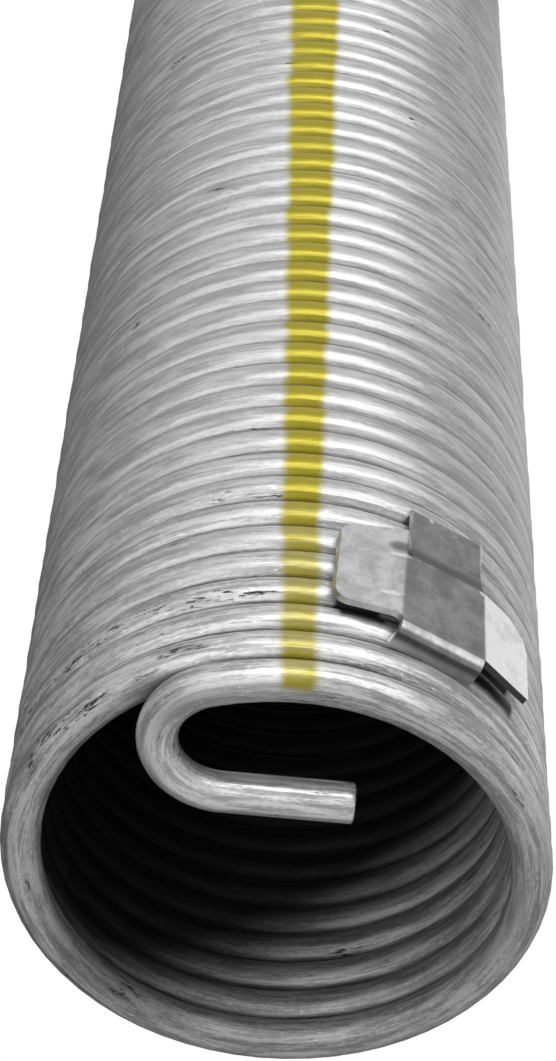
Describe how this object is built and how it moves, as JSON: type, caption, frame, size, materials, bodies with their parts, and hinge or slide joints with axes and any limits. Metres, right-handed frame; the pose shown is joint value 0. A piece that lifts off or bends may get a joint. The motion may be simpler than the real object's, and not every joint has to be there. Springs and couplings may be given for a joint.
{
  "type": "garage door torsion spring",
  "caption": "Close-wound torsion spring of round steel wire with inward hooks at its ends, a painted stripe along the turns and a folded sheet clip near the mouth.",
  "frame": {"origin": "on the coil's axis, at the plane of its far end, which it stands on", "axes": "+Z along the coil's axis towards the hooked mouth that the picture shows; -Y is the side with the stripe"},
  "size_m": [0.0786, 0.0806, 0.2743],
  "materials": {
    "spring_steel": "drawn and oiled, with fine lines along the wire, scuffs and a yellow stripe",
    "clip_steel": "punched and folded sheet, dull, with bright cut edges"
  },
  "bodies": {
    "root": {"spring_wire": "spring_steel", "retaining_clip": "clip_steel"}
  },
  "joints": []
}
